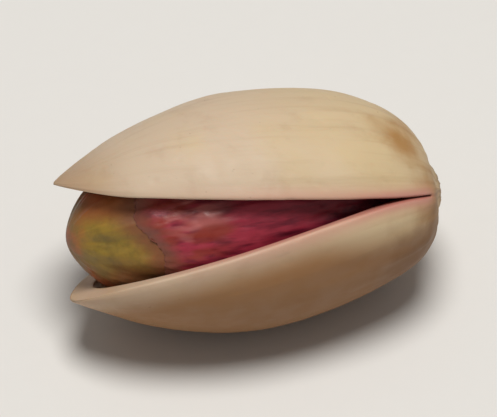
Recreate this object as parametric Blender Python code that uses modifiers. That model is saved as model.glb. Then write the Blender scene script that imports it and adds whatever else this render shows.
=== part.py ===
"""A pistachio in its split shell, lying on its side with the kernel showing in the gape.

The shell is one piece that has split along its seam and stays joined at the stem end. The kernel lies
in it, in a papery skin that is worn off at the kernel's tip.

In the nut's own frame the long axis is X, the beak is at -X and the stem end at +X, the halves met in
the XY plane, and the long split is at -Y. The whole nut is then rolled and pitched to the way it lies,
with its resting spot at Z = 0 and the origin under the middle of its box.
"""

import math
from collections import namedtuple

import bmesh
import bpy
from mathutils import Matrix, Vector, noise

# The closed shell, in metres
SHELL_LENGTH = 0.0210
SHELL_WIDTH = 0.0128
SHELL_THICKNESS = 0.0111
SHELL_GIRTH_AT = 0.385
WALL = 0.00085
STEM_WALL = 0.0013
BEAK_WALL = 0.0014
STEM_BEND = 0.0006
STEM_BEND_FROM = 0.0050

# The split: the rings where it stops short of the stem end, and how far each half has moved
LONG_SPLIT_RING = 7
SHORT_SPLIT_RING = 10
HALF_SWING = math.radians(8.5)
SPLIT_END_EASE = 0.0040
BEAK_FLARE = 0.00036
BEAK_FLARE_FROM = 0.84

# The surface of the shell
SEAM_RIDGE = 0.00012
SEAM_RIDGE_WIDTH = 0.0006
SEAM_RIDGE_START = 0.03
SEAM_RIDGE_END = 0.85
FURROWS = 13
FURROW_DEPTH = 0.00014
FURROW_HALF_ANGLE = math.radians(6)
FURROWS_START = 0.05
FURROWS_END = 0.62
LUMP_HEIGHT = 0.00012
LUMP_SPACING = 0.0045

# The scar that the stalk left on the stem end
SCAR_CENTRE_Y = 0.0009
SCAR_HALF_WIDTH = 0.0021
SCAR_HALF_HEIGHT = 0.0013
SCAR_RISE = 0.00024
SCAR_EDGE = 0.9
MOAT_DEPTH = 0.00008
MOAT_AT = 1.6
MOAT_WIDTH = 0.4

# The kernel and its skin
KERNEL_LENGTH = 0.0183
KERNEL_WIDTH = 0.0099
KERNEL_THICKNESS = 0.0097
KERNEL_GIRTH_AT = 0.46
KERNEL_BEAK_GAP = 0.00025
KERNEL_TILT = math.radians(0.3)
KERNEL_FORWARD = 0.0001
KERNEL_GROOVE = 0.0001
KERNEL_GROOVE_WIDTH = 0.0005
KERNEL_WRINKLE = 0.00007
KERNEL_WRINKLES = 11
KERNEL_PLAIN_END = 0.12
SKIN_GAP = 0.00008
SKIN_THICKNESS = 0.00018
SKIN_REACH = 0.69
SKIN_TEAR = 0.026

# How the nut lies
ROLL = math.radians(37.5)
PITCH = math.radians(2.5)
SPOT_DEPTH = 0.00014

# Rings from the stem end to the beak, and strips round the axis
RINGS = 36
OUTER_STRIPS = 56
CAVITY_STRIPS = 28
KERNEL_RINGS = 24
KERNEL_STRIPS = 36
SMOOTH_ANGLE = math.radians(40)

# A rounded form along X: ring_sweep is the angle that its rings step through, which packs them towards
# the stem end and, at a half turn, towards the tip too. Each tip pair is a power and a sharpness.
Form = namedtuple("Form", "length width thickness stem_x girth_at ring_sweep stem_power width_tip thick_tip")

OUTSIDE = Form(
    length=SHELL_LENGTH,
    width=SHELL_WIDTH,
    thickness=SHELL_THICKNESS,
    stem_x=SHELL_LENGTH / 2,
    girth_at=SHELL_GIRTH_AT,
    ring_sweep=0.75 * math.pi,
    stem_power=3.3,
    width_tip=(2.5, 0.61),
    thick_tip=(1.95, 0.93),
)
CAVITY = OUTSIDE._replace(
    length=SHELL_LENGTH - STEM_WALL - BEAK_WALL,
    width=SHELL_WIDTH - 2 * WALL,
    thickness=SHELL_THICKNESS - 2 * WALL,
    stem_x=SHELL_LENGTH / 2 - STEM_WALL,
)
KERNEL = Form(
    length=KERNEL_LENGTH,
    width=KERNEL_WIDTH,
    thickness=KERNEL_THICKNESS,
    stem_x=KERNEL_LENGTH + KERNEL_BEAK_GAP - SHELL_LENGTH / 2,
    girth_at=KERNEL_GIRTH_AT,
    ring_sweep=math.pi,
    stem_power=2.7,
    width_tip=(2.0, 0.58),
    thick_tip=(2.1, 0.56),
)


def smooth_step(value):
    """0 below 0, 1 above 1, and an even S between."""
    value = min(max(value, 0.0), 1.0)
    return value * value * (3 - 2 * value)


def beside(distance, width):
    """1 on a line, fading to 0 beside it."""
    return math.exp(-((distance / width) ** 2))


def length_share(form, ring_share):
    """How far along the form a ring lies, from 0 at the stem end to 1 at the tip."""
    return (1 - math.cos(form.ring_sweep * ring_share)) / (1 - math.cos(form.ring_sweep))


def fullness(form, share, tip):
    """The form's breadth at this share of its length, from 0 at the ends to 1 at the girth."""
    if share < form.girth_at:
        return math.sqrt(1 - ((form.girth_at - share) / form.girth_at) ** form.stem_power)
    power, sharpness = tip
    reach = min((share - form.girth_at) / (1 - form.girth_at), 1.0)
    return (1 - reach**power) ** sharpness


def form_point(form, ring_share, turn):
    """A point of the form. turn is the angle round the axis, from the long split over the upper half."""
    share = length_share(form, ring_share)
    return Vector((
        form.stem_x - form.length * share,
        -form.width / 2 * fullness(form, share, form.width_tip) * math.cos(turn),
        form.thickness / 2 * fullness(form, share, form.thick_tip) * math.sin(turn),
    ))


def add_form(mesh, form, rings, strips):
    """Adds a sphere and draws it out into the form. Returns a (vertex, ring share, turn) for each vertex."""
    made = bmesh.ops.create_uvsphere(mesh, u_segments=strips, v_segments=rings, radius=1)
    placed = []
    for vert in made["verts"]:
        ring_share = math.acos(max(-1.0, min(1.0, vert.co.z))) / math.pi
        turn = math.atan2(vert.co.y, vert.co.x)
        placed.append((vert, ring_share, turn))
    for vert, ring_share, turn in placed:
        vert.co = form_point(form, ring_share, turn)
    faces = dict.fromkeys(face for vert in made["verts"] for face in vert.link_faces)
    bmesh.ops.reverse_faces(mesh, faces=list(faces))
    return placed


def raise_surface(mesh, placed, relief):
    """Moves each vertex out along its normal by the relief at its place."""
    mesh.normal_update()
    steps = [vert.normal * relief(vert.co, ring_share, turn) for vert, ring_share, turn in placed]
    for (vert, _, _), step in zip(placed, steps):
        vert.co += step


def on_seam(turn):
    return abs(math.sin(turn)) < 0.001


def furrow_relief(share, turn):
    """Shallow furrows that run out from the stem end, of uneven depth, place and length."""
    depth = 0.0
    for number in range(FURROWS):
        centre = 2 * math.pi * (number + 0.3 * math.sin(2.4 * number)) / FURROWS
        reach = FURROWS_END * (0.62 + 0.38 * math.sin(1.9 * number + 1) ** 2)
        strength = 0.55 + 0.45 * math.sin(3.1 * number + 0.5)
        start_fade = smooth_step((share - FURROWS_START) / (2 * FURROWS_START))
        end_fade = smooth_step(2 * (reach - share) / FURROWS_END)
        off_centre = math.remainder(turn - centre, 2 * math.pi)
        depth += strength * start_fade * end_fade * beside(off_centre, FURROW_HALF_ANGLE)
    return -FURROW_DEPTH * depth


def scar_relief(point):
    """A low oval pad in a shallow moat."""
    if point.x < 0:
        return 0.0
    across = (point.y - SCAR_CENTRE_Y) / SCAR_HALF_WIDTH
    from_centre = math.hypot(across, point.z / SCAR_HALF_HEIGHT)
    pad = SCAR_RISE * smooth_step((1 - from_centre) / SCAR_EDGE + 0.5)
    return pad - MOAT_DEPTH * beside(from_centre - MOAT_AT, MOAT_WIDTH)


def shell_relief(point, ring_share, turn):
    share = length_share(OUTSIDE, ring_share)
    ridge = SEAM_RIDGE * beside(point.z, SEAM_RIDGE_WIDTH) * smooth_step(share / SEAM_RIDGE_START - 1)
    lumps = LUMP_HEIGHT * noise.noise(point / LUMP_SPACING)
    beak_fade = smooth_step((1 - share) / (1 - SEAM_RIDGE_END))
    return (ridge + lumps + furrow_relief(share, turn)) * beak_fade + scar_relief(point)


def gape(point):
    """How far each half has moved off the seam's plane: more with the distance from the split's ends."""
    long_end = form_point(OUTSIDE, LONG_SPLIT_RING / RINGS, 0)
    short_end = form_point(OUTSIDE, SHORT_SPLIT_RING / RINGS, math.pi)
    to_short_side = smooth_step((5 * point.y / short_end.y + 1) / 6)
    hinge_x = long_end.x + (short_end.x - long_end.x) * to_short_side
    distance = max(hinge_x - point.x, 0.0)
    swing = math.tan(HALF_SWING) * distance**3 / (distance**2 + SPLIT_END_EASE**2)
    share = (OUTSIDE.stem_x - point.x) / OUTSIDE.length
    into_beak = max(share - BEAK_FLARE_FROM, 0.0) / (1 - BEAK_FLARE_FROM)
    return swing + BEAK_FLARE * into_beak**2


def open_along_seam(mesh, placed):
    """Parts the form along its seam from the tip to both ends of the split, and moves the halves apart."""
    cut = set()
    for vert, ring_share, turn in placed:
        last_ring = LONG_SPLIT_RING if math.cos(turn) > 0 else SHORT_SPLIT_RING
        at_tip = ring_share * RINGS > RINGS - 0.5
        if at_tip or (on_seam(turn) and ring_share * RINGS > last_ring - 0.5):
            cut.add(vert)
    seam = [edge for edge in mesh.edges if all(vert in cut for vert in edge.verts)]
    parted = bmesh.ops.split_edges(mesh, edges=seam)["edges"]
    verts = [vert for vert, _, _ in placed] + [vert for edge in parted for vert in edge.verts]
    steps = {}
    for vert in verts:
        heights = [face.calc_center_median().z for face in vert.link_faces]
        if min(heights) * max(heights) > 0:
            steps[vert] = math.copysign(gape(vert.co), heights[0])
    for vert, step in steps.items():
        vert.co.z += step


def shell_mesh():
    """The outside and the cavity, each opened along the seam, joined by the faces of the split."""
    mesh = bmesh.new()
    outside = add_form(mesh, OUTSIDE, RINGS, OUTER_STRIPS)
    raise_surface(mesh, outside, shell_relief)
    for vert, _, turn in outside:
        if on_seam(turn):
            vert.co.z = 0
    open_along_seam(mesh, outside)
    cavity = add_form(mesh, CAVITY, RINGS, CAVITY_STRIPS)
    open_along_seam(mesh, cavity)
    rims = [edge for edge in mesh.edges if edge.is_boundary]
    bmesh.ops.bridge_loops(mesh, edges=rims)
    bmesh.ops.recalc_face_normals(mesh, faces=mesh.faces)
    if mesh.calc_volume(signed=True) < 0:
        bmesh.ops.reverse_faces(mesh, faces=mesh.faces)
    for vert in mesh.verts:
        past = max(vert.co.x - STEM_BEND_FROM, 0.0) / (SHELL_LENGTH / 2 - STEM_BEND_FROM)
        vert.co.z -= STEM_BEND * past**2
    return mesh


def kernel_relief(point, ring_share, turn):
    """Lengthwise wrinkles, and the groove between the two halves of the seed."""
    share = length_share(KERNEL, ring_share)
    off_ends = smooth_step(share / KERNEL_PLAIN_END) * smooth_step((1 - share) / KERNEL_PLAIN_END)
    groove = KERNEL_GROOVE * beside(point.z, KERNEL_GROOVE_WIDTH)
    wrinkle = KERNEL_WRINKLE * math.sin(KERNEL_WRINKLES * turn + 1.5 * math.sin(4 * share))
    lumps = LUMP_HEIGHT * noise.noise(point / LUMP_SPACING + Vector((7, 3, 5)))
    return (wrinkle - groove) * off_ends + lumps


def seat_kernel(mesh):
    """Tilts the seed a little and sets it towards the long split, as it lies in the shell."""
    mesh.transform(Matrix.Translation((0, -KERNEL_FORWARD, 0)) @ Matrix.Rotation(KERNEL_TILT, 4, "Y"))


def kernel_mesh():
    mesh = bmesh.new()
    placed = add_form(mesh, KERNEL, KERNEL_RINGS, KERNEL_STRIPS)
    raise_surface(mesh, placed, kernel_relief)
    seat_kernel(mesh)
    return mesh


def skin_mesh():
    """The kernel's surface a little further out, open at a ragged edge short of the tip."""
    mesh = bmesh.new()
    placed = add_form(mesh, KERNEL, KERNEL_RINGS, KERNEL_STRIPS)
    tip = max(placed, key=lambda place: place[1])
    placed.remove(tip)
    bmesh.ops.delete(mesh, geom=[tip[0]], context="VERTS")
    drawn_back = []
    for vert, ring_share, turn in placed:
        ragged = math.sin(2 * turn + 0.6) + 0.5 * math.sin(5 * turn)
        edge_share = SKIN_REACH + SKIN_TEAR * ragged
        ring_share *= edge_share * KERNEL_RINGS / (KERNEL_RINGS - 1)
        vert.co = form_point(KERNEL, ring_share, turn)
        drawn_back.append((vert, ring_share, turn))
    raise_surface(mesh, drawn_back, lambda *place: kernel_relief(*place) + SKIN_GAP)
    seat_kernel(mesh)
    return mesh


def flatten_spot(mesh, rotation):
    """Cuts off the lowest part of the turned shell, which leaves a small flat spot. Returns its depth."""
    down = rotation.to_3x3().inverted() @ Vector((0, 0, -1))
    depth = max(down.dot(vert.co) for vert in mesh.verts) - SPOT_DEPTH
    everything = mesh.verts[:] + mesh.edges[:] + mesh.faces[:]
    cut = bmesh.ops.bisect_plane(
        mesh, geom=everything, plane_co=down * depth, plane_no=down, clear_outer=True
    )
    rim = [item for item in cut["geom_cut"] if isinstance(item, bmesh.types.BMEdge)]
    bmesh.ops.contextual_create(mesh, geom=rim)
    return depth


def material(name, colour, roughness):
    made = bpy.data.materials.new(name)
    made.use_nodes = True
    shader = made.node_tree.nodes["Principled BSDF"]
    shader.inputs["Base Color"].default_value = (*colour, 1)
    shader.inputs["Roughness"].default_value = roughness
    shader.inputs["Metallic"].default_value = 0
    return made


def add_piece(name, mesh, finish, collection, parent):
    data = bpy.data.meshes.new(name)
    mesh.to_mesh(data)
    mesh.free()
    data.shade_smooth()
    data.set_sharp_from_angle(angle=SMOOTH_ANGLE)
    data.materials.append(finish)
    piece = bpy.data.objects.new(name, data)
    collection.objects.link(piece)
    piece.parent = parent
    return piece


def centre_over_origin(nut):
    """Moves the turned nut so that the middle of its box lies over the origin."""
    bpy.context.view_layer.update()
    corners = [piece.matrix_world @ vert.co for piece in nut.children for vert in piece.data.vertices]
    for axis in (0, 1):
        values = [corner[axis] for corner in corners]
        nut.location[axis] -= (min(values) + max(values)) / 2


def main():
    for obj in list(bpy.data.objects):
        bpy.data.objects.remove(obj)
    collection = bpy.data.collections.new("pistachio")
    bpy.context.scene.collection.children.link(collection)
    nut = bpy.data.objects.new("nut_at_rest", None)
    collection.objects.link(nut)
    rotation = Matrix.Rotation(PITCH, 4, "Y") @ Matrix.Rotation(-ROLL, 4, "X")

    shell = shell_mesh()
    depth = flatten_spot(shell, rotation)
    shell_ivory = material("shell_ivory", (0.66, 0.51, 0.34), 0.55)
    kernel_green = material("kernel_green", (0.28, 0.24, 0.06), 0.5)
    skin_crimson = material("skin_crimson", (0.20, 0.03, 0.04), 0.45)
    add_piece("shell", shell, shell_ivory, collection, nut)
    add_piece("kernel", kernel_mesh(), kernel_green, collection, nut)
    skin = add_piece("kernel_skin", skin_mesh(), skin_crimson, collection, nut)
    paper = skin.modifiers.new("paper", "SOLIDIFY")
    paper.thickness = SKIN_THICKNESS
    paper.offset = 1

    nut.matrix_world = Matrix.Translation((0, 0, depth)) @ rotation
    centre_over_origin(nut)


if __name__ == "__main__":
    main()
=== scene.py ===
"""Dresses the pistachio: a finely modelled shell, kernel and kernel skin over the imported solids.

Every piece is first shaped in the nut's own frame, where the long axis is X with the beak at -X, the
halves met in the XY plane and the long split is at -Y. It is then turned and set down as the solids lie.
"""

import math
from collections import namedtuple

import bpy
import numpy as np
from bpy.props import FloatProperty, FloatVectorProperty, PointerProperty
from mathutils import Matrix, Vector, noise


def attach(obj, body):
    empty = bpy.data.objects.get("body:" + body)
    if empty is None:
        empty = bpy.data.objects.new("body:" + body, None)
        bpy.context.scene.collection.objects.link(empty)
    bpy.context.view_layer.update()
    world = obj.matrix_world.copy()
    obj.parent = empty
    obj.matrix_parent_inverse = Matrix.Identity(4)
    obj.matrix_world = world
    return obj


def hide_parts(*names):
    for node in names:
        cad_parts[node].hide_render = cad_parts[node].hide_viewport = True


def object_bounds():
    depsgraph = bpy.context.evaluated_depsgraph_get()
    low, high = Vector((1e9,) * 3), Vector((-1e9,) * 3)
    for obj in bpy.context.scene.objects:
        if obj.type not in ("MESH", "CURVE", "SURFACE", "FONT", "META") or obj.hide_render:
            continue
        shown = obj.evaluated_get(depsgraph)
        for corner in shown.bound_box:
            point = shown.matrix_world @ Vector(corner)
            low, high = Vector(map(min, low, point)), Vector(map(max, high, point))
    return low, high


bl_info = {
    "name": "Pistachio in shell",
    "version": (1, 0, 0),
    "blender": (4, 5, 0),
    "location": "3D View > Sidebar > Pistachio",
    "description": "Models a split pistachio with its kernel and kernel skin, and a plain stage for it",
    "category": "Add Mesh",
}

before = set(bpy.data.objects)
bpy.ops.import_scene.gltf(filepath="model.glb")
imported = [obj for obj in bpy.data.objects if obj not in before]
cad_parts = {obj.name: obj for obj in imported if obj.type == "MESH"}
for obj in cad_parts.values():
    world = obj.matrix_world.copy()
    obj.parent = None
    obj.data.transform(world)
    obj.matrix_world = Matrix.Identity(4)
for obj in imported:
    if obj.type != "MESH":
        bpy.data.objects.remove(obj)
CAD_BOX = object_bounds()
MM = 0.001

# How the nut lies: rolled to one side, its beak raised a little, and this far from its own frame
ROLL = math.radians(37.5)
PITCH = math.radians(2.5)
LAID_AT = Vector((-0.05704 * MM, 0.03606 * MM, 6.41214 * MM))
REST = Matrix.Translation(LAID_AT) @ Matrix.Rotation(PITCH, 4, "Y") @ Matrix.Rotation(-ROLL, 4, "X")

# Rings from the stem end to the beak, and strips round the axis, before the surface is subdivided
SHELL_RINGS = 108
OUTSIDE_STRIPS = 152
CAVITY_STRIPS = 40
LIP_CUTS = 3
LONG_SPLIT_RING = 21
SHORT_SPLIT_RING = 30
KERNEL_RINGS = 150
KERNEL_STRIPS = 200
SKIN_RINGS = 190
SKIN_STRIPS = 230

# The shell's and the kernel's finer proportions, as the solids have them
SHELL_SWEEP = 0.75 * math.pi
SHELL_STEM_POWER = 3.3
SHELL_WIDTH_TIP = (2.5, 0.61)
SHELL_THICK_TIP = (1.95, 0.93)
KERNEL_STEM_POWER = 2.7
KERNEL_WIDTH_TIP = (2.0, 0.58)
KERNEL_THICK_TIP = (2.1, 0.56)
KERNEL_TILT = math.radians(0.3)
KERNEL_FORWARD = 0.1 * MM
STEM_BEND = 0.6 * MM
STEM_BEND_FROM = 5.0 * MM
SPLIT_END_EASE = 4.0 * MM
BEAK_FLARE = 0.36 * MM
BEAK_FLARE_FROM = 0.84
LUMP_HEIGHT = 0.12 * MM
LUMP_SPACING = 4.5 * MM
SCAR_CENTRE_Y = 0.9 * MM
FURROWS = 13
FURROW_REACH = 0.62
FURROW_DEPTH = 0.14 * MM

# The seed is plumper than its solid by this at the stem end, which fills the narrow end of the split
STEM_PLUMPNESS = 0.7 * MM

# Radii at which lengthwise patterns are laid round the shell and the seed
SHELL_RADIUS = 6.4 * MM
KERNEL_RADIUS = 4.8 * MM

# Heights and depths of what is too fine for the solids
FIBRE_HEIGHT = 0.012 * MM
PIT_DEPTH = 0.03 * MM
DENT_HEIGHT = 0.022 * MM
CREASE_DEPTH = 0.05 * MM
SCAR_CREASES = 17
SCAR_ROUGHNESS = 0.09 * MM
SCAR_RIM_HEIGHT = 0.06 * MM
SEAM_GROOVE_DEPTH = 0.045 * MM
WRINKLE_HEIGHT = 0.035 * MM
FINE_WRINKLE_HEIGHT = 0.014 * MM
KERNEL_DENT_DEPTH = 0.03 * MM
PUCKER_HEIGHT = 0.05 * MM
SKIN_CREASE_HEIGHT = 0.012 * MM
EDGE_SINK = 0.04 * MM
EDGE_CURL = 0.04 * MM

# A point of a form is on the seam where the sine of its turn is as good as 0
SEAM_SINE = 0.001

# The camera's sensor and the soft studio light, both matched to the photograph
SENSOR_WIDTH = 36
LIGHT_PLACE = (0.0, -0.05, 0.5)
LIGHT_WIDTH = 0.24
LIGHT_WATTS = 2.22
LIGHT_TINT = "#fffcf7"
SURROUNDINGS_TINT = "#f3f1ee"
SURROUNDINGS_STRENGTH = 0.22
FLOOR_WIDTH = 2.4
FLECK_TINT = "#cfcac2"

# Stains by the stem end, some partly painted shade, in millimetres: the colour, the middle, the reach,
# how ragged and how strong
STEM_STAINS_AND_SHADE = (
    ("ochre", (8.1, -4.0, 2.8), 2.0, 0.5, 0.85),
    ("ochre", (7.3, -3.8, 3.7), 1.9, 0.7, 0.35),
    ("ochre", (8.8, -2.5, 3.4), 1.9, 0.9, 0.5),
    # The last three are partly real stain and partly painted shade: the stem end's darker lower edge,
    # and a neighbouring nut's shadow painted on the lower half
    ("ochre", (9.5, -3.9, -0.3), 3.4, 0.6, 0.75),
    ("umber", (9.8, -3.4, -1.2), 2.6, 0.5, 0.45),
    ("umber", (8.4, -3.0, -3.8), 5.0, 0.8, 0.9),
)

# Settings of the nodes that the finishes use most
SMOOTH = {"interpolation_type": "SMOOTHSTEP"}
COLOUR = {"data_type": "RGBA"}
MULTIPLY = {"operation": "MULTIPLY"}

Form = namedtuple("Form", "length width thickness stem_x girth_at sweep stem_power width_tip thick_tip")


def linear(hex_colour):
    """An sRGB hex colour as the linear red, green and blue that the shaders take."""
    channels = []
    for start in (1, 3, 5):
        value = int(hex_colour[start : start + 2], 16) / 255
        channels.append(value / 12.92 if value <= 0.04045 else ((value + 0.055) / 1.055) ** 2.4)
    return tuple(channels)


def size(name, description, millimetres):
    return FloatProperty(
        name=name, description=description, default=millimetres * MM, min=0, precision=5, unit="LENGTH"
    )


def share(name, description, default):
    return FloatProperty(
        name=name, description=description, default=default, min=0, max=1, subtype="FACTOR"
    )


def colour(name, description, hex_colour):
    return FloatVectorProperty(
        name=name,
        description=description,
        default=linear(hex_colour),
        size=3,
        min=0,
        max=1,
        subtype="COLOR",
    )


def angle(name, description, degrees):
    return FloatProperty(
        name=name, description=description, default=math.radians(degrees), unit="ROTATION"
    )


# Sizes and colours that a user would change


class ShellSizes(bpy.types.PropertyGroup):
    """Sizes of the hard shell while its halves are still closed, and how far they have parted."""

    length: size("Length", "From the stem end to the tip of the beak", 21.0)
    width: size("Width", "From the long split to the short one", 12.8)
    height: size("Height", "Across the two halves", 11.1)
    girth_at: share("Girth at", "Share of the length, from the stem end, where it is fullest", 0.385)
    wall: size("Wall", "Thickness of the shell", 0.85)
    stem_wall: size("Stem wall", "Thickness of the shell at the stem end", 1.3)
    beak_wall: size("Beak wall", "Depth of the solid tip of the beak", 1.4)
    half_swing: angle("Half swing", "How far each half has swung", 8.5)
    scar_width: size("Scar width", "Width of the scar that the stalk left", 4.2)
    scar_height: size("Scar height", "Height of the scar that the stalk left", 2.6)


class ShellColours(bpy.types.PropertyGroup):
    """Colours of the dry woody shell."""

    ivory: colour("Ivory", "The clean upper surface", "#cdb79e")
    straw: colour("Straw", "Yellower patches and the stem end", "#d2ba8c")
    # Also the painted shade on the lower half
    tan: colour("Tan", "Streaks, the beak and the lower half", "#976c42")
    ochre: colour("Ochre", "Stains round the stem end", "#a8783c")
    blush: colour("Blush", "Pink that the skin left on the lips of the split", "#cb8f80")
    # Also the painted shade at the bottom and at the stem end
    umber: colour("Umber", "Specks, the scar and the stem end", "#7a5430")
    # Partly a real stain from the skin, partly painted shade in the split
    stain_and_shade: colour("Stained", "The lips' inner edges, darkened by the skin", "#96483f")
    lining: colour("Lining", "The smooth inside of the shell", "#b79a76")


class KernelSizes(bpy.types.PropertyGroup):
    """Sizes of the seed."""

    length: size("Length", "From end to end", 18.3)
    width: size("Width", "From the long split to the short one", 9.9)
    height: size("Height", "Across the two halves", 9.7)
    girth_at: share("Girth at", "Share of the length, from the stem end, where it is fullest", 0.46)
    beak_gap: size("Beak gap", "How far its tip stays from the beak's tip", 0.25)


class KernelColours(bpy.types.PropertyGroup):
    """Colours of the seed's flesh."""

    olive: colour("Olive", "The bare flesh", "#93792b")
    moss: colour("Moss", "Darker green between the wrinkles", "#6f5c26")
    rust: colour("Rust", "Blotches at the rim of the bare tip", "#a85630")
    bark: colour("Bark", "Skin rubbed into the flesh near the torn edge", "#825034")


class SkinSizes(bpy.types.PropertyGroup):
    """Sizes of the papery skin."""

    gap: size("Gap", "Room between the kernel and its skin", 0.08)
    thickness: size("Thickness", "Thickness of the skin", 0.08)
    reach: share("Reach", "How far from the stem end it covers the kernel", 0.69)


class SkinColours(bpy.types.PropertyGroup):
    """Colours of the skin."""

    crimson: colour("Crimson", "Most of the skin", "#a02e42")
    wine: colour("Wine", "Darker streaks and the stem end", "#5e1428")
    brick: colour("Brick", "Ruddy streaks", "#8e3122")
    # Painted highlight: the pink of glints on the skin's ridges
    glint_pink: colour("Rose", "Ridges that are rubbed thin", "#ba6c69")
    cocoa: colour("Cocoa", "Along the torn edge", "#804a39")


class StageSettings(bpy.types.PropertyGroup):
    """The floor, the light and the view of the photograph."""

    floor_colour: colour("Floor", "A plain pale floor", "#e2e1df")
    azimuth: angle("Azimuth", "Side that it is seen from", -16.5)
    elevation: angle("Elevation", "Height of the view", 45)
    distance: size("Distance", "From the camera to the nut", 420.0)
    view_width: size("View width", "What the picture's width takes in at the nut", 27.0)


# Curves, forms and grain


def smooth_step(value):
    """0 below 0, 1 above 1, and an even S between."""
    value = np.clip(value, 0.0, 1.0)
    return value * value * (3 - 2 * value)


def beside(distance, width):
    """1 on a line, fading to 0 beside it."""
    return np.exp(-((distance / width) ** 2))


def length_share(form, ring_share):
    """How far along the form a ring lies, from 0 at the stem end to 1 at the tip."""
    return (1 - np.cos(form.sweep * ring_share)) / (1 - math.cos(form.sweep))


def fullness(form, along, tip):
    """The form's breadth at this share of its length, from 0 at the ends to 1 at the girth."""
    power, sharpness = tip
    to_stem = np.clip((form.girth_at - along) / form.girth_at, 0.0, 1.0)
    to_tip = np.clip((along - form.girth_at) / (1 - form.girth_at), 0.0, 1.0)
    towards_stem = np.sqrt(1 - to_stem**form.stem_power)
    return np.where(along < form.girth_at, towards_stem, (1 - to_tip**power) ** sharpness)


def form_points(form, ring_share, turn):
    """Points of the form. turn is the angle round the axis, from the long split over the upper half."""
    along = length_share(form, ring_share)
    x = form.stem_x - form.length * along
    y = -form.width / 2 * fullness(form, along, form.width_tip) * np.cos(turn)
    z = form.thickness / 2 * fullness(form, along, form.thick_tip) * np.sin(turn)
    return np.stack([x, y, z], axis=1)


def on_seam(turn):
    """Whether places at these turns lie in the seam's plane."""
    return np.abs(np.sin(turn)) < SEAM_SINE


def circle(turn):
    """Places on a circle, so that noise read there meets itself after a full turn."""
    return np.stack([np.cos(turn), np.sin(turn), np.zeros(len(turn))], axis=1)


def tube(x, turn, radius):
    """Places on a tube round the axis, for patterns that run along it."""
    return np.stack([x, np.cos(turn) * radius, np.sin(turn) * radius], axis=1)


def grain(points, spacing, offset=0.0, octaves=1):
    """Smooth noise of about -1 to 1. spacing is the size of its lumps, or one size for each axis."""
    scaled = points / np.asarray(spacing) + offset
    if octaves == 1:
        return np.array([noise.noise(Vector(place)) for place in scaled])
    return np.array([noise.fractal(Vector(place), 0.9, 2.1, octaves) for place in scaled])


# Meshes


def deselect_all():
    if bpy.context.object and bpy.context.object.mode != "OBJECT":
        bpy.ops.object.mode_set(mode="OBJECT")
    bpy.ops.object.select_all(action="DESELECT")


def make_active(piece):
    deselect_all()
    piece.select_set(True)
    bpy.context.view_layer.objects.active = piece


def read_points(piece):
    values = np.empty(len(piece.data.vertices) * 3)
    piece.data.vertices.foreach_get("co", values)
    return values.reshape(-1, 3)


def write_points(piece, values):
    piece.data.vertices.foreach_set("co", np.ascontiguousarray(values, dtype=np.float64).ravel())
    piece.data.update()


def read_normals(piece):
    values = np.empty(len(piece.data.vertices) * 3, dtype=np.float32)
    piece.data.vertex_normals.foreach_get("vector", values)
    return values.reshape(-1, 3).astype(float)


def read_mark(piece, name):
    """Reads a number, or a vector, that is kept at every vertex."""
    layer = piece.data.attributes[name]
    if layer.data_type == "FLOAT":
        values = np.empty(len(piece.data.vertices), dtype=np.float32)
        layer.data.foreach_get("value", values)
        return values.astype(float)
    values = np.empty(len(piece.data.vertices) * 3, dtype=np.float32)
    layer.data.foreach_get("vector", values)
    return values.reshape(-1, 3).astype(float)


def write_mark(piece, name, values):
    """Keeps a number, or a vector, at every vertex, for the shapes and the materials."""
    values = np.asarray(values, dtype=np.float32)
    kind = "FLOAT" if values.ndim == 1 else "FLOAT_VECTOR"
    layer = piece.data.attributes.get(name) or piece.data.attributes.new(name, kind, "POINT")
    layer.data.foreach_set("value" if values.ndim == 1 else "vector", values.ravel())


def add_form(name, form, strips, rings):
    """Adds a sphere and draws it out into the form. Keeps each vertex's ring share and turn."""
    deselect_all()
    bpy.ops.mesh.primitive_uv_sphere_add(segments=strips, ring_count=rings, radius=1)
    piece = bpy.context.object
    piece.name = name
    piece.data.name = name
    ball = read_points(piece)
    ring_share = np.arccos(np.clip(ball[:, 2], -1, 1)) / math.pi
    turn = np.arctan2(ball[:, 1], ball[:, 0])
    write_points(piece, form_points(form, ring_share, turn))
    edit_all(piece)
    bpy.ops.mesh.flip_normals()
    bpy.ops.object.mode_set(mode="OBJECT")
    return piece, ring_share, turn


def edit_just(piece, parts, chosen):
    """Enters edit mode with just these parts selected: some of the piece's vertices or of its edges."""
    make_active(piece)
    bpy.context.tool_settings.mesh_select_mode = (parts == "vertices", parts == "edges", False)
    for kind in ("vertices", "edges", "polygons"):
        elements = getattr(piece.data, kind)
        picked = chosen if kind == parts else np.zeros(len(elements), dtype=bool)
        elements.foreach_set("select", picked)
    bpy.ops.object.mode_set(mode="EDIT")


def edit_all(piece):
    """Enters edit mode with the whole piece selected."""
    make_active(piece)
    bpy.ops.object.mode_set(mode="EDIT")
    bpy.ops.mesh.select_all(action="SELECT")


def apply_modifier(piece, kind, **settings):
    make_active(piece)
    modifier = piece.modifiers.new(kind.lower(), kind)
    for key, value in settings.items():
        setattr(modifier, key, value)
    bpy.ops.object.modifier_apply(modifier=modifier.name)


def seat_kernel(piece):
    """Tilts the seed or its skin a little and sets it towards the long split, as the solids have it."""
    tilt = Matrix.Rotation(KERNEL_TILT, 4, "Y")
    piece.data.transform(Matrix.Translation((0, -KERNEL_FORWARD, 0)) @ tilt)


def lay_down(piece):
    """Turns a finished piece from the nut's own frame to the way the nut lies. Its object stays put."""
    piece.data.transform(REST)
    piece.data.update()


def finish_piece(piece, node, finish):
    """Smooth shading, its material, and its place in the frame."""
    make_active(piece)
    bpy.ops.object.shade_smooth()
    piece.data.materials.clear()
    piece.data.materials.append(finish)
    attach(piece, "root")
    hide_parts(node)


# Shell


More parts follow.
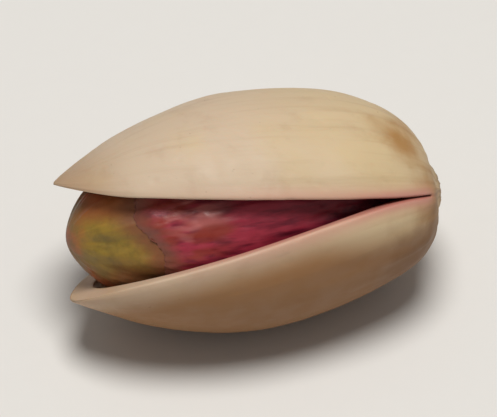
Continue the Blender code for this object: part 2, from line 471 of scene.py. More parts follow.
def outside_form(sizes):
    return Form(
        length=sizes.length,
        width=sizes.width,
        thickness=sizes.height,
        stem_x=sizes.length / 2,
        girth_at=sizes.girth_at,
        sweep=SHELL_SWEEP,
        stem_power=SHELL_STEM_POWER,
        width_tip=SHELL_WIDTH_TIP,
        thick_tip=SHELL_THICK_TIP,
    )


def cavity_form(sizes):
    return outside_form(sizes)._replace(
        length=sizes.length - sizes.stem_wall - sizes.beak_wall,
        width=sizes.width - 2 * sizes.wall,
        thickness=sizes.height - 2 * sizes.wall,
        stem_x=sizes.length / 2 - sizes.stem_wall,
    )


def furrow_relief(along, turn):
    """Shallow furrows that run out from the stem end, of uneven depth, place and length."""
    depth = np.zeros(len(along))
    for number in range(FURROWS):
        centre = 2 * math.pi * (number + 0.3 * math.sin(2.4 * number)) / FURROWS
        reach = FURROW_REACH * (0.62 + 0.38 * math.sin(1.9 * number + 1) ** 2)
        strength = 0.55 + 0.45 * math.sin(3.1 * number + 0.5)
        fade = smooth_step((along - 0.05) / 0.1) * smooth_step(2 * (reach - along) / FURROW_REACH)
        off_centre = np.remainder(turn - centre + math.pi, 2 * math.pi) - math.pi
        depth += strength * fade * beside(off_centre, math.radians(6))
    return -FURROW_DEPTH * depth


def from_scar(points, sizes):
    """Distance from the scar's middle, where 1 is its edge and 9 is anywhere on the beak's half."""
    across = (points[:, 1] - SCAR_CENTRE_Y) / (sizes.scar_width / 2)
    return np.where(points[:, 0] < 0, 9.0, np.hypot(across, points[:, 2] / (sizes.scar_height / 2)))


def scar_relief(points, sizes):
    """A low oval pad in a shallow moat."""
    off = from_scar(points, sizes)
    return 0.24 * MM * smooth_step((1 - off) / 0.9 + 0.5) - 0.08 * MM * beside(off - 1.6, 0.4)


def shell_relief(points, along, turn, sizes):
    """The shell's low forms, as the solid has them."""
    ridge = 0.12 * MM * beside(points[:, 2], 0.6 * MM) * smooth_step(along / 0.03 - 1)
    lumps = LUMP_HEIGHT * grain(points, LUMP_SPACING)
    beak_fade = smooth_step((1 - along) / 0.15)
    return (ridge + lumps + furrow_relief(along, turn)) * beak_fade + scar_relief(points, sizes)


def gape(points, sizes):
    """How far each half has moved off the seam's plane: more with the distance from the split's ends."""
    outside = outside_form(sizes)
    long_end = form_points(outside, np.array([LONG_SPLIT_RING / SHELL_RINGS]), np.array([0.0]))[0]
    short_end = form_points(outside, np.array([SHORT_SPLIT_RING / SHELL_RINGS]), np.array([math.pi]))[0]

    # The halves hinge on a line that runs from the end of the long split over to that of the short one
    to_short_side = smooth_step((5 * points[:, 1] / short_end[1] + 1) / 6)
    hinge_x = long_end[0] + (short_end[0] - long_end[0]) * to_short_side
    distance = np.maximum(hinge_x - points[:, 0], 0.0)
    swing = math.tan(sizes.half_swing) * distance**3 / (distance**2 + SPLIT_END_EASE**2)
    along = (outside.stem_x - points[:, 0]) / outside.length
    into_beak = np.maximum(along - BEAK_FLARE_FROM, 0.0) / (1 - BEAK_FLARE_FROM)
    return swing + BEAK_FLARE * into_beak**2


def open_along_seam(piece, ring_share, turn, sizes):
    """Parts the form along its seam, from the tip to both ends of the split, and opens the halves."""
    last_ring = np.where(np.cos(turn) > 0, LONG_SPLIT_RING, SHORT_SPLIT_RING)
    ring = ring_share * SHELL_RINGS
    split = on_seam(turn) & (ring > last_ring - 0.5)
    cut = split | (ring > SHELL_RINGS - 0.5)
    ends = np.empty(len(piece.data.edges) * 2, dtype=np.int32)
    piece.data.edges.foreach_get("vertices", ends)
    edit_just(piece, "edges", cut[ends.reshape(-1, 2)].all(axis=1))
    bpy.ops.mesh.edge_split(type="EDGE")
    bpy.ops.object.mode_set(mode="OBJECT")

    # Each vertex belongs to the half that all its faces are on. Those on the closed seam stay put.
    corners = np.empty(len(piece.data.loops), dtype=np.int32)
    piece.data.loops.foreach_get("vertex_index", corners)
    centres = np.empty(len(piece.data.polygons) * 3, dtype=np.float32)
    piece.data.polygons.foreach_get("center", centres)
    corner_counts = np.empty(len(piece.data.polygons), dtype=np.int32)
    piece.data.polygons.foreach_get("loop_total", corner_counts)
    heights = np.repeat(centres.reshape(-1, 3)[:, 2], corner_counts)
    lowest = np.full(len(piece.data.vertices), np.inf)
    highest = np.full(len(piece.data.vertices), -np.inf)
    np.minimum.at(lowest, corners, heights)
    np.maximum.at(highest, corners, heights)
    points = read_points(piece)
    half = np.where(lowest * highest > 0, np.sign(lowest), 0.0)
    points[:, 2] += half * gape(points, sizes)
    write_points(piece, points)


def shell_surface(name, form, strips, sizes, outer):
    """One surface of the shell, shaped closed and then opened. Keeps where each place grew."""
    piece, ring_share, turn = add_form(name, form, strips, SHELL_RINGS)
    points = read_points(piece)
    if outer:
        along = length_share(form, ring_share)
        points = points + read_normals(piece) * shell_relief(points, along, turn, sizes)[:, None]
        points[:, 2] = np.where(on_seam(turn), 0.0, points[:, 2])
        write_points(piece, points)
    write_mark(piece, "grown", points / MM)
    write_mark(piece, "outer", np.full(len(points), 1.0 if outer else 0.0))
    open_along_seam(piece, ring_share, turn, sizes)
    return piece


def fibre_place(grown):
    """A place that changes round the shell and slowly along it, so that its patterns run lengthwise."""
    turn = np.arctan2(grown[:, 2], -grown[:, 1])
    return tube(grown[:, 0] / 14, turn, SHELL_RADIUS)


def fine_shell_relief(grown, outer, sizes):
    """What the solid is too coarse for: lengthwise fibres, pits, and a fibrous scar with creases."""
    along = np.clip((sizes.length / 2 - grown[:, 0]) / sizes.length, 0, 1)
    lines = fibre_place(grown)
    fibres = grain(lines, 0.5 * MM, 3.0) + 0.6 * grain(lines, 0.22 * MM, 9.0)
    near_stem = 1 + 1.6 * smooth_step((0.42 - along) / 0.4)
    pits = smooth_step((grain(grown, 0.75 * MM, 20.0) - 0.42) / 0.25)
    dents = grain(grown, 1.7 * MM, 31.0)
    off = from_scar(grown, sizes)
    on_scar = smooth_step((1.12 - off) / 0.3)
    relief = FIBRE_HEIGHT * fibres * near_stem * (1 - on_scar) - PIT_DEPTH * pits + DENT_HEIGHT * dents
    clock = np.arctan2(grown[:, 2], grown[:, 1] - SCAR_CENTRE_Y)
    creases = np.cos(SCAR_CREASES * clock + 2.5 * grain(grown, 1.5 * MM, 5.0))
    round_scar = smooth_step((off - 0.8) / 0.4) * smooth_step((3.2 - off) / 1.8)
    relief -= CREASE_DEPTH * smooth_step(creases) * round_scar
    relief += SCAR_ROUGHNESS * grain(grown, (0.5 * MM, 0.42 * MM, 0.26 * MM), 44.0, 3) * on_scar
    relief += SCAR_RIM_HEIGHT * beside(off - 0.96, 0.14)
    groove = beside(grown[:, 2], 0.11 * MM) * smooth_step((along - 0.03) / 0.04)
    relief -= SEAM_GROOVE_DEPTH * groove
    return relief * outer**2


def shell_piece(sizes, finish):
    """The outside and the cavity, joined by lips along the split, with a flat spot to rest on."""
    outside = shell_surface("pistachio_shell", outside_form(sizes), OUTSIDE_STRIPS, sizes, True)
    cavity = shell_surface("cavity", cavity_form(sizes), CAVITY_STRIPS, sizes, False)
    make_active(outside)
    cavity.select_set(True)
    bpy.ops.object.join()
    bpy.context.tool_settings.mesh_select_mode = (False, True, False)
    bpy.ops.object.mode_set(mode="EDIT")
    bpy.ops.mesh.select_all(action="DESELECT")
    bpy.ops.mesh.select_non_manifold(
        extend=False,
        use_wire=False,
        use_boundary=True,
        use_multi_face=False,
        use_non_contiguous=False,
        use_verts=False,
    )
    bpy.ops.mesh.bridge_edge_loops(number_cuts=LIP_CUTS, interpolation="LINEAR")
    bpy.ops.mesh.select_all(action="SELECT")
    bpy.ops.mesh.normals_make_consistent(inside=False)
    bpy.ops.object.mode_set(mode="OBJECT")
    apply_modifier(outside, "SUBSURF", levels=1, render_levels=1)
    grown = read_mark(outside, "grown") * MM
    outer = read_mark(outside, "outer")
    points = read_points(outside)
    points = points + read_normals(outside) * fine_shell_relief(grown, outer, sizes)[:, None]

    # The stem end bends a little to one half
    past = np.maximum(points[:, 0] - STEM_BEND_FROM, 0.0) / (sizes.length / 2 - STEM_BEND_FROM)
    points[:, 2] -= STEM_BEND * past**2
    write_points(outside, points)
    write_mark(outside, "scar", from_scar(grown, sizes))
    write_mark(outside, "fibre_place", fibre_place(grown) / MM)
    lay_down(outside)
    edit_all(outside)
    bpy.ops.mesh.bisect(
        plane_co=(0, 0, 0), plane_no=(0, 0, -1), clear_outer=True, use_fill=True, threshold=1e-7
    )
    bpy.ops.object.mode_set(mode="OBJECT")
    finish_piece(outside, "shell", finish)
    return outside


# Kernel and its skin


def kernel_form(sizes, shell):
    return Form(
        length=sizes.length,
        width=sizes.width,
        thickness=sizes.height,
        stem_x=sizes.length + sizes.beak_gap - shell.length / 2,
        girth_at=sizes.girth_at,
        sweep=math.pi,
        stem_power=KERNEL_STEM_POWER,
        width_tip=KERNEL_WIDTH_TIP,
        thick_tip=KERNEL_THICK_TIP,
    )


def kernel_relief(points, along, turn):
    """Lengthwise wrinkles, and the groove between the two halves of the seed."""
    off_ends = smooth_step(along / 0.12) * smooth_step((1 - along) / 0.12)
    groove = 0.1 * MM * beside(points[:, 2], 0.5 * MM)
    wrinkle = 0.07 * MM * np.sin(11 * turn + 1.5 * np.sin(4 * along))
    lumps = LUMP_HEIGHT * grain(points, LUMP_SPACING, np.array((7.0, 3.0, 5.0)))
    plump = STEM_PLUMPNESS * smooth_step((0.3 - along) / 0.28)
    return (wrinkle - groove) * off_ends + lumps + plump


def kernel_wrinkles(points, along, turn):
    """Fine wrinkles that run along the seed and cross here and there, with small dents between them."""
    off_ends = smooth_step(along / 0.07) * smooth_step((1 - along) / 0.07)
    round_axis = tube(points[:, 0] / 3.5, turn, KERNEL_RADIUS)
    sway = 0.25 * MM * grain(points, 1.3 * MM, 8.0)
    ridges = 1 - np.abs(grain(round_axis + sway[:, None], 0.75 * MM, 12.0)) * 2.6
    fine = 1 - np.abs(grain(round_axis, 0.34 * MM, 23.0)) * 2.6
    dents = smooth_step((grain(points, 0.6 * MM, 27.0) - 0.25) / 0.3)
    return (WRINKLE_HEIGHT * ridges + FINE_WRINKLE_HEIGHT * fine) * off_ends - KERNEL_DENT_DEPTH * dents


def torn_edge(turn, reach):
    """The share of the rings at which the skin ends, ragged round the axis."""
    waves = np.sin(2 * turn + 0.6) + 0.5 * np.sin(5 * turn)
    nicks = 0.010 * grain(circle(turn), 0.17, 2.0) + 0.006 * grain(circle(turn), 0.05, 6.0)
    return reach + 0.026 * waves + nicks


def kernel_piece(sizes, skin, shell, finish):
    """The seed. Its skin's edge is marked on it, so that the flesh can be browner there."""
    form = kernel_form(sizes, shell)
    piece, ring_share, turn = add_form("pistachio_kernel", form, KERNEL_STRIPS, KERNEL_RINGS)
    along = length_share(form, ring_share)
    points = read_points(piece)
    write_mark(piece, "grown", points / MM)
    edge = length_share(form, torn_edge(turn, skin.reach))
    write_mark(piece, "from_edge", (edge - along) * form.length / MM)
    relief = kernel_relief(points, along, turn)
    relief += kernel_wrinkles(points, along, turn) - 0.02 * MM
    write_points(piece, points + read_normals(piece) * relief[:, None])
    seat_kernel(piece)
    lay_down(piece)
    finish_piece(piece, "kernel", finish)
    return piece


def skin_piece(sizes, kernel, shell, finish):
    """The kernel's surface a little further out, open at a ragged edge short of the tip."""
    form = kernel_form(kernel, shell)
    piece, ring_share, turn = add_form("pistachio_kernel_skin", form, SKIN_STRIPS, SKIN_RINGS)
    edge = torn_edge(turn, sizes.reach)
    drawn_back = ring_share * edge * SKIN_RINGS / (SKIN_RINGS - 1)
    points = form_points(form, drawn_back, turn)
    write_points(piece, points)
    normals = read_normals(piece)
    along = length_share(form, drawn_back)
    write_mark(piece, "grown", points / MM)
    from_edge = (length_share(form, edge) - along) * form.length
    write_mark(piece, "from_edge", from_edge / MM)
    round_axis = tube(points[:, 0] / 5, turn, KERNEL_RADIUS)
    puckers = 1 - np.abs(grain(round_axis, 0.62 * MM, 15.0)) * 3
    creases = 1 - np.abs(grain(round_axis, 0.27 * MM, 19.0)) * 3
    inside_edge = smooth_step(from_edge / (0.9 * MM))
    relief = kernel_relief(points, along, turn) + kernel_wrinkles(points, along, turn)
    relief += 1.25 * EDGE_SINK * smooth_step(from_edge / (0.3 * MM)) - EDGE_SINK
    relief += (0.8 * sizes.gap + PUCKER_HEIGHT * np.maximum(puckers, 0)) * inside_edge
    relief += SKIN_CREASE_HEIGHT * np.maximum(creases, 0)
    curl = smooth_step(1.6 * grain(circle(turn), 0.16, 33.0) - 0.1)
    curl *= smooth_step(1 - from_edge / (0.6 * MM))
    relief += EDGE_CURL * curl
    write_points(piece, points + normals * relief[:, None])
    at_tip = np.argmax(ring_share)
    edit_just(piece, "vertices", np.arange(len(points)) == at_tip)
    bpy.ops.mesh.delete(type="VERT")
    bpy.ops.object.mode_set(mode="OBJECT")

    # The sheet thins towards its torn edge
    sheet = piece.vertex_groups.new(name="sheet")
    for vertex, value in enumerate(np.delete(inside_edge, at_tip)):
        sheet.add([vertex], 0.25 + 0.75 * value, "REPLACE")
    apply_modifier(piece, "SOLIDIFY", thickness=sizes.thickness, offset=1, vertex_group="sheet")
    seat_kernel(piece)
    lay_down(piece)
    finish_piece(piece, "kernel_skin", finish)
    return piece


# Finishes


class Finish:
    """A material with its node tree. add() is the one way that nodes are made."""

    def __init__(self, name):
        self.made = bpy.data.materials.new(name)
        self.made.use_nodes = True
        self.nodes = self.made.node_tree.nodes
        self.links = self.made.node_tree.links

    def add(self, kind, settings=None, **sockets):
        """Adds a node with its settings. Each socket is given a value or another node."""
        node = self.nodes.new(kind)
        for key, value in (settings or {}).items():
            setattr(node, key, value)
        self.feed(node, sockets)
        return node

    def feed(self, node, sockets):
        """A socket's key is its name with spaces as underscores, or its number after an underscore."""
        for key, value in sockets.items():
            if key[0] == "_":
                socket = node.inputs[int(key[1:])]
            else:
                named = key.replace("_", " ")
                socket = next(each for each in node.inputs if each.name == named and each.enabled)
            if isinstance(value, bpy.types.Node):
                value = next(each for each in value.outputs if each.enabled)
            if isinstance(value, bpy.types.NodeSocket):
                self.links.new(value, socket)
            else:
                socket.default_value = (*value, 1.0) if socket.type == "RGBA" else value

    def coat(self, **sockets):
        """Gives the shader its values and nodes, and returns the finished material."""
        self.feed(self.nodes["Principled BSDF"], sockets)
        return self.made


def stain(finish, under, over, source, low, high, most, within=None):
    """Lays a colour over another as the source goes from low to high, up to a share, within a place."""
    amount = finish.add(
        "ShaderNodeMapRange", SMOOTH, Value=source, From_Min=low, From_Max=high, To_Max=most
    )
    if within is not None:
        amount = finish.add("ShaderNodeMath", MULTIPLY, _0=amount, _1=within)
    return finish.add("ShaderNodeMix", COLOUR, Factor=amount, A=under, B=over)


def patch(finish, place, middle, reach, ragged):
    """1 at a point, in millimetres, and softly down to 0 at its reach, with a ragged rim."""
    apart = finish.add("ShaderNodeVectorMath", {"operation": "DISTANCE"}, _0=place, _1=middle)
    rough = finish.add("ShaderNodeTexNoise", Vector=place, Scale=1 / 0.9, Detail=3.0)
    distance = finish.add(
        "ShaderNodeMath", {"operation": "MULTIPLY_ADD"}, _0=rough, _1=-2 * ragged, _2=apart
    )
    return finish.add(
        "ShaderNodeMapRange", SMOOTH, Value=distance, From_Min=reach - ragged, From_Max=-ragged
    )


def shell_finish(colours):
    """Dry pistachio endocarp, brushed clean: satin ivory with faint lengthwise fibres, tan stains, and
    painted shade on the lower half and the stem end.
    """
    finish = Finish("dry_pistachio_shell")
    grown = finish.add("ShaderNodeAttribute", {"attribute_name": "grown"}).outputs["Vector"]
    outer = finish.add("ShaderNodeAttribute", {"attribute_name": "outer"}).outputs["Fac"]
    scar = finish.add("ShaderNodeAttribute", {"attribute_name": "scar"}).outputs["Fac"]
    length, _, height = finish.add("ShaderNodeSeparateXYZ", _0=grown).outputs
    from_seam = finish.add("ShaderNodeMath", {"operation": "ABSOLUTE"}, _0=height)
    lengthwise = finish.add("ShaderNodeAttribute", {"attribute_name": "fibre_place"}).outputs["Vector"]

    # Ivory, yellower towards the stem end and in wide soft clouds, with painted shade below the seam
    clouds = finish.add("ShaderNodeTexNoise", Vector=grown, Scale=1 / 4.5, Detail=3.0)
    body = stain(finish, colours.ivory, colours.straw, length, -3.0, 7.5, 0.6)
    body = stain(finish, body, colours.straw, clouds, 0.45, 0.72, 0.4)
    # Painted shade: the lower half browner below the seam, reaching higher towards the stem end, and
    # darker towards the bottom
    rise = finish.add("ShaderNodeMapRange", SMOOTH, Value=length, From_Min=1.0, From_Max=6.5, To_Max=1.1)
    painted_shade_height = finish.add("ShaderNodeMath", {"operation": "ADD"}, _0=height, _1=rise)
    body = stain(finish, body, colours.tan, painted_shade_height, 0.3, -2.0, 1.0)
    body = stain(finish, body, colours.umber, height, -1.4, -5.0, 0.5)

    # Fibres about 0.5 mm apart, cloudy tan, and a tan beak
    fibres = finish.add(
        "ShaderNodeTexNoise", Vector=lengthwise, Scale=1 / 0.5, Detail=3.0, Roughness=0.6
    )
    mottle = finish.add("ShaderNodeTexNoise", Vector=grown, Scale=1 / 1.8, Detail=4.0, Roughness=0.6)
    body = stain(finish, body, colours.tan, fibres, 0.48, 0.8, 0.16)
    body = stain(finish, body, colours.tan, mottle, 0.5, 0.75, 0.15)
    upper = finish.add("ShaderNodeMapRange", SMOOTH, Value=height, From_Min=-1.2, From_Max=0.4)
    body = stain(finish, body, colours.tan, length, -6.4, -10.2, 0.5, upper)

    # Golden-brown stains by the stem end: streaks, then spots, of which those on the lower side are
    # partly painted shade
    bands = finish.add("ShaderNodeTexNoise", Vector=lengthwise, Scale=1 / 0.8, Detail=3.0)
    stem = finish.add("ShaderNodeMapRange", SMOOTH, Value=length, From_Min=6.8, From_Max=10.0)
    off_scar = finish.add("ShaderNodeMapRange", SMOOTH, Value=scar, From_Min=0.9, From_Max=1.25)
    stem = finish.add("ShaderNodeMath", MULTIPLY, _0=stem, _1=off_scar)
    body = stain(finish, body, colours.ochre, bands, 0.36, 0.66, 0.6, stem)
    for name, middle, reach, ragged, most in STEM_STAINS_AND_SHADE:
        spot = patch(finish, grown, middle, reach, ragged)
        body = stain(finish, body, getattr(colours, name), spot, 0.0, 1.0, most)

    # Specks, the scar, and the line of the seam where it has stayed closed
    specks = finish.add("ShaderNodeTexNoise", Vector=grown, Scale=1 / 0.26, Detail=1.0)
    closed = finish.add("ShaderNodeMapRange", SMOOTH, Value=length, From_Min=8.8, From_Max=9.6)
    body = stain(finish, body, colours.umber, specks, 0.76, 0.82, 0.35)
    body = stain(finish, body, colours.umber, scar, 1.3, 0.85, 0.75)
    on_scar = finish.add("ShaderNodeMapRange", SMOOTH, Value=scar, From_Min=0.95, From_Max=0.75)
    flecks = finish.add("ShaderNodeTexNoise", Vector=grown, Scale=1 / 0.4, Detail=3.0, Roughness=0.6)
    body = stain(finish, body, colours.tan, flecks, 0.45, 0.7, 0.8, on_scar)
    body = stain(finish, body, colours.umber, from_seam, 0.16, 0.0, 0.5, closed)

    # Pink from the skin: a blush outside the split, more so at its narrow end, and over the lips. The
    # dark red on the lips' inner edges and at the narrow end is partly a real stain from the skin and
    # partly painted shade in the split
    split = finish.add("ShaderNodeMapRange", SMOOTH, Value=length, From_Min=9.8, From_Max=8.6)
    narrow = finish.add("ShaderNodeMapRange", SMOOTH, Value=length, From_Min=2.5, From_Max=7.0)
    narrow = finish.add("ShaderNodeMath", MULTIPLY, _0=narrow, _1=split)
    off_beak = finish.add(
        "ShaderNodeMapRange", SMOOTH, Value=length, From_Min=-8.0, From_Max=3.0, To_Min=0.05, To_Max=0.9
    )
    off_beak = finish.add("ShaderNodeMath", MULTIPLY, _0=off_beak, _1=split)
    body = stain(finish, body, colours.blush, from_seam, 1.1, 0.1, 0.6, off_beak)
    body = stain(finish, body, colours.blush, outer, 0.97, 0.6, 1.0, off_beak)
    body = stain(finish, body, colours.blush, from_seam, 0.6, 0.1, 0.9, narrow)
    body = stain(finish, body, colours.stain_and_shade, from_seam, 0.2, 0.0, 0.6, narrow)
    body = stain(finish, body, colours.stain_and_shade, outer, 0.5, 0.2, 0.6, off_beak)

    # The lining is plain, and dark red beside the split: partly a real stain where the skin has lain
    # against it, and partly painted shade inside the narrow split
    near_skin = finish.add("ShaderNodeMapRange", SMOOTH, Value=length, From_Min=-7.5, From_Max=-4.0)
    lining = stain(finish, colours.lining, colours.stain_and_shade, from_seam, 3.2, 0.6, 0.95, near_skin)
    body = stain(finish, body, lining, outer, 0.25, 0.0, 1.0)

    # Satin that varies a little, and a grain. Real fibres are under 0.05 mm: these show at 0.16 mm.
    sheen = finish.add("ShaderNodeTexNoise", Vector=grown, Scale=1 / 1.1, Detail=2.0)
    rough = finish.add(
        "ShaderNodeMapRange", SMOOTH, Value=sheen, From_Min=0.3, From_Max=0.7, To_Min=0.54, To_Max=0.68
    )
    drawn = finish.add("ShaderNodeVectorMath", MULTIPLY, _0=grown, _1=(0.3, 1.0, 1.0))
    grain_height = finish.add(
        "ShaderNodeTexNoise", Vector=drawn, Scale=1 / 0.16, Detail=3.0, Roughness=0.6
    )
    bump = finish.add("ShaderNodeBump", Height=grain_height, Strength=0.12, Distance=0.05 * MM)
    return finish.coat(
        Base_Color=body,
        Roughness=rough,
        Normal=bump,
        IOR=1.5,
        Subsurface_Weight=0.06,
        Subsurface_Scale=0.8 * MM,
    )


def kernel_finish(colours):
    """Roasted pistachio flesh: waxy olive green with rust blotches where the skin has rubbed off."""
    finish = Finish("roasted_pistachio_flesh")
    grown = finish.add("ShaderNodeAttribute", {"attribute_name": "grown"}).outputs["Vector"]
    from_edge = finish.add("ShaderNodeAttribute", {"attribute_name": "from_edge"}).outputs["Fac"]
    _, across, height = finish.add("ShaderNodeSeparateXYZ", _0=grown).outputs
    facing = finish.add("ShaderNodeMapRange", SMOOTH, Value=across, From_Min=0.5, From_Max=-2.0)

    # Olive and moss in the middle of the bare tip, rust and bark round it and towards the torn edge
    mottle = finish.add("ShaderNodeTexNoise", Vector=grown, Scale=1 / 0.9, Detail=4.0, Roughness=0.65)
    wide = finish.add("ShaderNodeTexNoise", Vector=grown, Scale=1 / 2.6, Detail=2.0)
    brown = stain(finish, colours.rust, colours.bark, mottle, 0.35, 0.65, 0.9)
    brown = stain(finish, brown, colours.moss, wide, 0.45, 0.6, 0.75)
    green = stain(finish, colours.olive, colours.moss, mottle, 0.35, 0.75, 0.75)
    bare = patch(finish, grown, (-8.1, -2.8, -0.1), 4.0, 0.7)
    low = patch(finish, grown, (-7.6, -2.4, -2.6), 2.2, 0.3)
    flesh = stain(finish, brown, green, bare, 0.0, 0.6, 0.9)
    flesh = stain(finish, flesh, colours.rust, height, 0.7, 1.7, 0.7, facing)
    flesh = stain(finish, flesh, colours.bark, low, 0.0, 1.0, 0.8)
    flesh = stain(finish, flesh, colours.bark, from_edge, -1.4, -0.1, 0.9)

    # Waxy, with a tooth about 0.3 mm wide
    fine = finish.add("ShaderNodeTexNoise", Vector=grown, Scale=1 / 0.3, Detail=3.0)
    bump = finish.add("ShaderNodeBump", Height=fine, Strength=0.2, Distance=0.06 * MM)
    return finish.coat(
        Base_Color=flesh,
        Roughness=0.5,
        Normal=bump,
        IOR=1.47,
        Subsurface_Weight=0.15,
        Subsurface_Scale=0.7 * MM,
    )


def skin_finish(colours):
    """Dry pistachio seed coat: papery crimson with wine streaks, and painted pink highlights on its
    ridges.
    """
    finish = Finish("papery_pistachio_skin")
    grown = finish.add("ShaderNodeAttribute", {"attribute_name": "grown"}).outputs["Vector"]
    from_edge = finish.add("ShaderNodeAttribute", {"attribute_name": "from_edge"}).outputs["Fac"]
    length = finish.add("ShaderNodeSeparateXYZ", _0=grown).outputs["X"]
    lengthwise = finish.add("ShaderNodeVectorMath", MULTIPLY, _0=grown, _1=(0.16, 1.0, 1.0))
    apart = finish.add("ShaderNodeVectorMath", {"operation": "ADD"}, _0=lengthwise, _1=(7.0, 4.0, 9.0))

    # Crimson with wine streaks about 0.5 mm apart, ruddier towards the bare tip
    wide = finish.add("ShaderNodeTexNoise", Vector=lengthwise, Scale=1 / 0.55, Detail=3.0, Roughness=0.6)
    thin = finish.add("ShaderNodeTexNoise", Vector=apart, Scale=1 / 0.5, Detail=1.5, Roughness=0.5)
    coat = stain(finish, colours.crimson, colours.wine, wide, 0.4, 0.64, 0.85)
    coat = stain(finish, coat, colours.wine, length, -0.5, 3.5, 0.35)
    ruddy = finish.add("ShaderNodeMapRange", SMOOTH, Value=length, From_Min=-1.5, From_Max=-4.5)
    coat = stain(finish, coat, colours.brick, thin, 0.38, 0.62, 0.8, ruddy)

    # Painted highlights: pink glint streaks along the ridges that face the split
    rubbed = patch(finish, grown, (-3.9, -4.4, 0.9), 2.8, 0.4)
    glint_streaks = finish.add("ShaderNodeTexNoise", Vector=apart, Scale=1 / 0.38, Detail=1.0, Roughness=0.4)
    coat = stain(finish, coat, colours.glint_pink, glint_streaks, 0.46, 0.68, 0.8, rubbed)

    # One long painted highlight streak, and one ruddy streak of the skin's own colour under it
    drawn_out = finish.add("ShaderNodeVectorMath", MULTIPLY, _0=grown, _1=(0.35, 1.0, 1.0))
    pale = patch(finish, drawn_out, (-1.3, -4.55, 0.45), 0.75, 0.3)
    ember = patch(finish, drawn_out, (-1.15, -4.75, -0.15), 0.7, 0.3)
    coat = stain(finish, coat, colours.glint_pink, pale, 0.0, 0.8, 0.6)
    coat = stain(finish, coat, colours.brick, ember, 0.0, 0.8, 0.75)

    # Brownish and thin along the torn edge
    coat = stain(finish, coat, colours.cocoa, from_edge, 1.4, 0.1, 0.95)

    # Papery sheen that varies over 0.5 mm, and fine creases about 0.2 mm apart
    sheen = finish.add("ShaderNodeTexNoise", Vector=grown, Scale=1 / 0.5, Detail=2.0)
    rough = finish.add(
        "ShaderNodeMapRange", SMOOTH, Value=sheen, From_Min=0.3, From_Max=0.7, To_Min=0.34, To_Max=0.52
    )
    fine = finish.add("ShaderNodeTexNoise", Vector=lengthwise, Scale=1 / 0.2, Detail=3.0, Roughness=0.6)
    bump = finish.add("ShaderNodeBump", Height=fine, Strength=0.25, Distance=0.06 * MM)
    return finish.coat(Base_Color=coat, Roughness=rough, Normal=bump, IOR=1.5)


# Stage


def pale_floor_finish(colour_value):
    """Matt paper sweep: plain and pale, with the faintest tooth, about 1 mm wide."""
    finish = Finish("matt_paper_floor")
    place = finish.add("ShaderNodeTexCoord").outputs["Object"]
    fleck = finish.add("ShaderNodeTexNoise", Vector=place, Scale=900.0, Detail=2.0)
    tone = stain(finish, colour_value, linear(FLECK_TINT), fleck, 0.0, 1.0, 0.04)
    return finish.coat(Base_Color=tone, Roughness=0.9)


def add_overhead_light(aim):
    """A wide round studio light above the nut, a little to the front."""
    data = bpy.data.lights.new("overhead", "AREA")
    data.shape = "DISK"
    data.size = LIGHT_WIDTH
    data.energy = LIGHT_WATTS
    data.color = linear(LIGHT_TINT)
    lamp = bpy.data.objects.new("overhead", data)
    bpy.context.scene.collection.objects.link(lamp)
    lamp.location = LIGHT_PLACE
    lamp.rotation_euler = (aim - lamp.location).to_track_quat("-Z", "Y").to_euler()


def set_stage(settings):
    deselect_all()
    bpy.ops.mesh.primitive_plane_add(size=FLOOR_WIDTH, location=(0, 0, 0))
    floor = bpy.context.object
    floor.name = "floor"
    floor.data.materials.append(pale_floor_finish(settings.floor_colour))
    world = bpy.data.worlds.new("soft_studio")
    world.use_nodes = True
    background = world.node_tree.nodes["Background"]
    background.inputs["Color"].default_value = (*linear(SURROUNDINGS_TINT), 1)
    background.inputs["Strength"].default_value = SURROUNDINGS_STRENGTH
    bpy.context.scene.world = world
    middle = (Vector(CAD_BOX[0]) + Vector(CAD_BOX[1])) / 2
    add_overhead_light(middle)
    camera_data = bpy.data.cameras.new("photograph_view")
    camera = bpy.data.objects.new("photograph_view", camera_data)
    bpy.context.scene.collection.objects.link(camera)
    side, rise = settings.azimuth, settings.elevation
    towards = Vector((
        math.sin(side) * math.cos(rise), -math.cos(side) * math.cos(rise), math.sin(rise)
    ))
    camera.location = middle + towards * settings.distance
    camera.rotation_euler = (-towards).to_track_quat("-Z", "Y").to_euler()
    camera_data.sensor_width = SENSOR_WIDTH
    camera_data.lens = SENSOR_WIDTH * settings.distance / settings.view_width
    camera_data.clip_start = 0.01
    camera_data.clip_end = 10
    bpy.context.scene.camera = camera
    bpy.context.scene.view_settings.view_transform = "Standard"


# Operators and panel


class PISTACHIO_OT_shell(bpy.types.Operator):
    """Model the split shell."""

    bl_idname = "pistachio.shell"
    bl_label = "Shell"

    def execute(self, context):
        scene = context.scene
        shell_piece(scene.shell_sizes, shell_finish(scene.shell_colours))
        return {"FINISHED"}


class PISTACHIO_OT_kernel(bpy.types.Operator):
    """Model the seed."""

    bl_idname = "pistachio.kernel"
    bl_label = "Kernel"

    def execute(self, context):
        scene = context.scene
        finish = kernel_finish(scene.kernel_colours)
        kernel_piece(scene.kernel_sizes, scene.skin_sizes, scene.shell_sizes, finish)
        return {"FINISHED"}


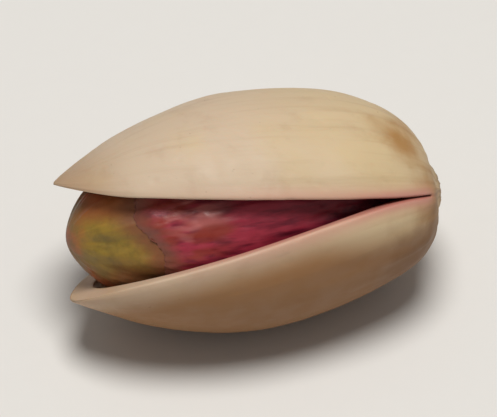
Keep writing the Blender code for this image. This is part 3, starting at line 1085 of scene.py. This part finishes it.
class PISTACHIO_OT_kernel_skin(bpy.types.Operator):
    """Model the papery skin on the seed."""

    bl_idname = "pistachio.kernel_skin"
    bl_label = "Kernel skin"

    def execute(self, context):
        scene = context.scene
        finish = skin_finish(scene.skin_colours)
        skin_piece(scene.skin_sizes, scene.kernel_sizes, scene.shell_sizes, finish)
        return {"FINISHED"}


class PISTACHIO_OT_stage(bpy.types.Operator):
    """Set the floor, the light and the camera."""

    bl_idname = "pistachio.stage"
    bl_label = "Stage"

    def execute(self, context):
        set_stage(context.scene.stage_settings)
        return {"FINISHED"}


class PISTACHIO_PT_panel(bpy.types.Panel):
    """Sizes, colours and steps of the pistachio."""

    bl_idname = "PISTACHIO_PT_panel"
    bl_label = "Pistachio"
    bl_space_type = "VIEW_3D"
    bl_region_type = "UI"
    bl_category = "Pistachio"

    def draw(self, context):
        for name in GROUPS:
            box = self.layout.box()
            box.label(text=name.replace("_", " ").capitalize())
            group = getattr(context.scene, name)
            for key in group.__annotations__:
                box.prop(group, key)
        for step in STEPS:
            self.layout.operator(step.bl_idname)


GROUPS = {
    "shell_sizes": ShellSizes,
    "shell_colours": ShellColours,
    "kernel_sizes": KernelSizes,
    "kernel_colours": KernelColours,
    "skin_sizes": SkinSizes,
    "skin_colours": SkinColours,
    "stage_settings": StageSettings,
}
STEPS = (PISTACHIO_OT_shell, PISTACHIO_OT_kernel, PISTACHIO_OT_kernel_skin, PISTACHIO_OT_stage)


def register():
    for name, group in GROUPS.items():
        bpy.utils.register_class(group)
        setattr(bpy.types.Scene, name, PointerProperty(type=group))
    for step in STEPS:
        bpy.utils.register_class(step)
    bpy.utils.register_class(PISTACHIO_PT_panel)


def unregister():
    bpy.utils.unregister_class(PISTACHIO_PT_panel)
    for step in reversed(STEPS):
        bpy.utils.unregister_class(step)
    for name, group in reversed(GROUPS.items()):
        delattr(bpy.types.Scene, name)
        bpy.utils.unregister_class(group)


def main():
    register()
    bpy.ops.pistachio.shell()
    bpy.ops.pistachio.kernel()
    bpy.ops.pistachio.kernel_skin()
    bpy.ops.pistachio.stage()


if __name__ == "__main__":
    main()
